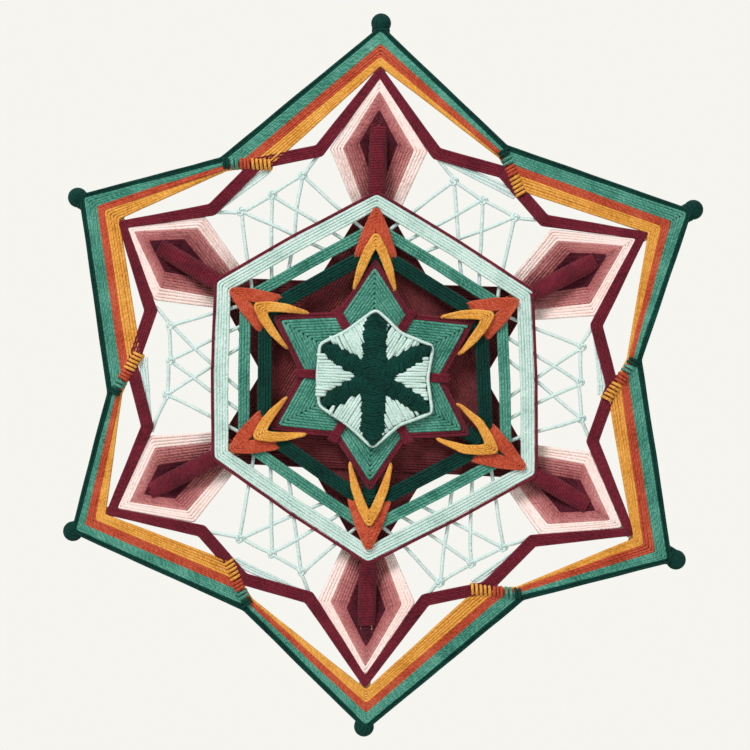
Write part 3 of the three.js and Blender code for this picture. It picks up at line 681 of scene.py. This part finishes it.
base_points, base_quads = cushion_base(medallion_edge * [0.98, 1, 0.98], FRONT + 0.9, MEDALLION_TOP - 1.1)
petals = []
for arm in ARMS:
    upright = arm in UPRIGHT_ARMS
    petals += petal_stitches(arm, 0.0 if upright else 4.0, MEDALLION_POINTS[arm] - 1.8, 6.0 if upright else 4.3,
                             MEDALLION_TOP + (0.5 if upright else 0.0))
tubes = [tube(path, radius, guide) for path, radius, guide in petals]
starts = np.cumsum([len(base_points)] + [len(t[0]) for t in tubes])
petal_piece = mesh_piece(
    "yarn_medallion_base",
    np.concatenate([base_points] + [t[0] for t in tubes]),
    np.concatenate([base_quads] + [t[1] + s for t, s in zip(tubes, starts)]),
    np.concatenate([np.zeros((base_quads.size, 2))] + [t[2] for t in tubes]),
    DARK_GREEN)
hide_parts("medallion_base")

# Lashing round each arm near the crossing
lashing = [(sleeve(arm, 9.0, 16.5, 1.3, 0.1), YARN / 2, arm_guide(arm)) for arm in ARMS]
yarn_piece("centre_lashing", lashing, DARK_GREEN)


# Knobs

def wound_ball(centre, axis, radius, turns):
    """Yarn wound into a ball: a great circle whose plane turns slowly, (cos t u + sin t v) with u and v turning."""
    t = np.linspace(0, 2 * np.pi * turns, int(turns * 22))
    tilt = 0.62 * np.sin(t * 0.37)
    spin = t * 0.173
    side = np.cross(axis, GUIDE)
    circle = np.stack([np.cos(t) * np.cos(spin), np.cos(t) * np.sin(spin) * np.cos(tilt) - np.sin(t) * np.sin(tilt),
                       np.sin(t) * np.cos(tilt) + np.cos(t) * np.sin(spin) * np.sin(tilt)], axis=1)
    circle /= np.linalg.norm(circle, axis=1, keepdims=True)
    return centre + radius * (circle @ np.stack([side, GUIDE, axis]))


KNOB_RADIUS = 3.8
KNOB_TURNS = 26
KNOB_YARN = 1.24
KNOB_OUT = np.array([0.9, 1.3, 1.6, 0.2, 0.0, 1.3])
for arm, name in enumerate(ARM_NAMES):
    centre = on_arm(arm, REACH[arm] + KNOB_OUT[arm], 0.0, 0.0)
    axis = arm_guide(arm)
    ball = wound_ball(centre, axis, KNOB_RADIUS, KNOB_TURNS)
    outward = (ball - centre) / KNOB_RADIUS
    neck = sleeve(arm, REACH[arm] - 3.4, REACH[arm] - 0.6, 1.2, 0.4)
    yarn_piece("knob_" + name, [(ball, KNOB_YARN / 2, outward), (neck, KNOB_YARN / 2, axis)],
               DARK_GREEN)


# Nets: thickness of the thread and of the band's strands, and how far each net was pulled round and outwards
NET_THREAD = 1.6
NET_FINE = 1.2
NET_TWIST = np.array([0.0, 0.6, -2.1, 2.8, -0.7, 0.4])
NET_PULL = np.array([0.0, -0.3, -2.0, -1.4, 1.9, 0.0])


def knot(centre, size):
    """A small hard knot: a trefoil, (2 + cos 3t) (cos 2t, sin 2t) with depth sin 3t."""
    t = np.linspace(0, 2 * np.pi, 60)
    ring = 2 + np.cos(3 * t)
    return centre + size * np.stack([ring * np.cos(2 * t), -np.sin(3 * t) * 1.2, ring * np.sin(2 * t)], axis=1) / 3


def net_strands(sector):
    """Threads between three knots and the zigzag's corners, two more from each knot, which cross their neighbours
    and end behind the jade hexagon, and the band along the zigzag."""
    depth = FRONT - 1.5
    left_end, right_end = in_sector(sector, np.array([99.6, 99.8]), np.array([16.2, -15.8]), depth)
    knots = in_sector(sector, np.array([91.6, 90.0, 92.4]) + NET_PULL[sector],
                      np.array([9.3, -0.3, -10.0]) + NET_TWIST[sector], depth)
    angles = np.array([25.5, -9.3, 17.7, -17.7, 9.3, -25.5])
    through = in_sector(sector, 57.5 / np.cos(np.radians(angles)), angles + NET_TWIST[sector])
    sides = np.array([sector, NEXT[sector]])
    edge = on_arm(sides, 64.9 + WEAVE[sides])
    feet = meeting(np.repeat(knots, 2, axis=0), through, edge[:1], edge[1:], depth - 1.2)
    lines = [(left_end, knots[0]), (knots[0], knots[1]), (knots[1], knots[2]), (knots[2], right_end)]
    lines += zip(np.repeat(knots, 2, axis=0), feet)
    strands = [(laid(np.stack(line), 1.0, 0.18), NET_THREAD / 2, GUIDE) for line in lines]
    for drop in (0.0, 1.1, 2.2):
        band = in_sector(sector, np.array([99.8 - 0.5 * drop, 101.6 - 1.2 * drop]),
                         np.array([16.0, VALLEY_TWIST[sector] - 8.5]), depth + 0.4)
        strands.append((laid(band, 1.0, 0.12), NET_FINE / 2, GUIDE))
    strands += [(knot(k + [0, -0.2, 0], 1.65), NET_FINE / 2, GUIDE) for k in knots]
    return strands


for sector in ARMS:
    yarn_piece(f"net_{ARM_NAMES[sector]}_to_{ARM_NAMES[NEXT[sector]]}", net_strands(sector), NET_MINT)

# Stage: a pale floor well below the hanging object, soft light and a camera square to the front
FLOOR_DROP = 450.0
FLOOR_RADIUS = 700.0
PALE = "#f6f5f0"
turn = np.linspace(0, 2 * np.pi, 65)[:-1]
rim = np.stack([FLOOR_RADIUS * np.cos(turn), FLOOR_RADIUS * np.sin(turn), np.full(len(turn), -FLOOR_DROP)], axis=1)
floor_mesh = bpy.data.meshes.new("floor")
floor_mesh.from_pydata((rim / 1000).tolist(), [], [list(range(len(rim)))])
floor = bpy.data.objects.new("floor", floor_mesh)
bpy.context.scene.collection.objects.link(floor)
matt_paint = bpy.data.materials.new("matt_pale_paint")
matt_paint.use_nodes = True
paint_shader = matt_paint.node_tree.nodes["Principled BSDF"]
paint_shader.inputs["Base Color"].default_value = linear(PALE)
paint_shader.inputs["Roughness"].default_value = 0.9
floor_mesh.materials.append(matt_paint)


def soft_light(name, place, size, power):
    """A square area light at a place in metres, turned to face the object's middle."""
    lamp = bpy.data.lights.new(name, "AREA")
    lamp.size = size
    lamp.energy = power
    light = bpy.data.objects.new(name, lamp)
    light.location = place
    back = np.array(place) / np.linalg.norm(place)
    right = np.cross([0.0, 0.0, 1.0], back)
    right /= np.linalg.norm(right)
    up = np.cross(back, right)
    turn = np.eye(4)
    turn[:3, :3] = np.stack([right, up, back], axis=1)
    turn[:3, 3] = place
    light.matrix_world = Matrix(turn.tolist())
    bpy.context.scene.collection.objects.link(light)


# Lights in metres and watts
soft_light("key", (-0.7, -1.0, 1.1), 0.6, 23.0)
soft_light("fill", (0.9, -1.2, 0.2), 1.0, 5.0)
soft_light("rear", (0.3, 1.4, 0.8), 1.0, 8.0)

world = bpy.data.worlds.new("studio")
world.use_nodes = True
bpy.context.scene.world = world
tree = world.node_tree
tree.nodes.clear()
rays = add_node(tree, "ShaderNodeLightPath")
seen = add_node(tree, "ShaderNodeMath", {"operation": "MAXIMUM"}, links={
    0: rays.outputs["Is Camera Ray"], 1: rays.outputs["Is Glossy Ray"]})
seen = add_node(tree, "ShaderNodeMath", {"operation": "MAXIMUM"}, links={
    0: seen.outputs[0], 1: rays.outputs["Is Transmission Ray"]})
backdrop = add_node(tree, "ShaderNodeBackground", values={"Color": linear(PALE), "Strength": 1.0})
glow = add_node(tree, "ShaderNodeBackground", values={"Color": linear("#f8f8f6"), "Strength": 0.36})
either = add_node(tree, "ShaderNodeMixShader", links={
    0: seen.outputs[0], 1: glow.outputs[0], 2: backdrop.outputs[0]})
add_node(tree, "ShaderNodeOutputWorld", links={"Surface": either.outputs[0]})

# Camera: it looks straight at the front, a little off the crossing, and the object shows turned 1.4 degrees clockwise.
# The frame's width is measured at the object's front
FRAME_WIDE = 324.75
FRONT_LAYER = 6.0
ASIDE, ABOVE = 1.08, 0.43
LENS = 100.0
SENSOR = 36.0
ROLL = np.radians(1.4)
camera_data = bpy.data.cameras.new("camera")
camera_data.lens = LENS
camera_data.sensor_width = SENSOR
camera = bpy.data.objects.new("camera", camera_data)
right = np.array([np.cos(ROLL), 0.0, np.sin(ROLL)])
up = np.array([-np.sin(ROLL), 0.0, np.cos(ROLL)])
back = np.array([0.0, -1.0, 0.0])
pose = np.eye(4)
pose[:3, :3] = np.stack([right, up, back], axis=1)
pose[:3, 3] = (right * ASIDE + up * ABOVE + back * (FRAME_WIDE * LENS / SENSOR + FRONT_LAYER)) / 1000
camera.matrix_world = Matrix(pose.tolist())
bpy.context.scene.collection.objects.link(camera)
bpy.context.scene.camera = camera
bpy.context.scene.view_settings.view_transform = "Standard"
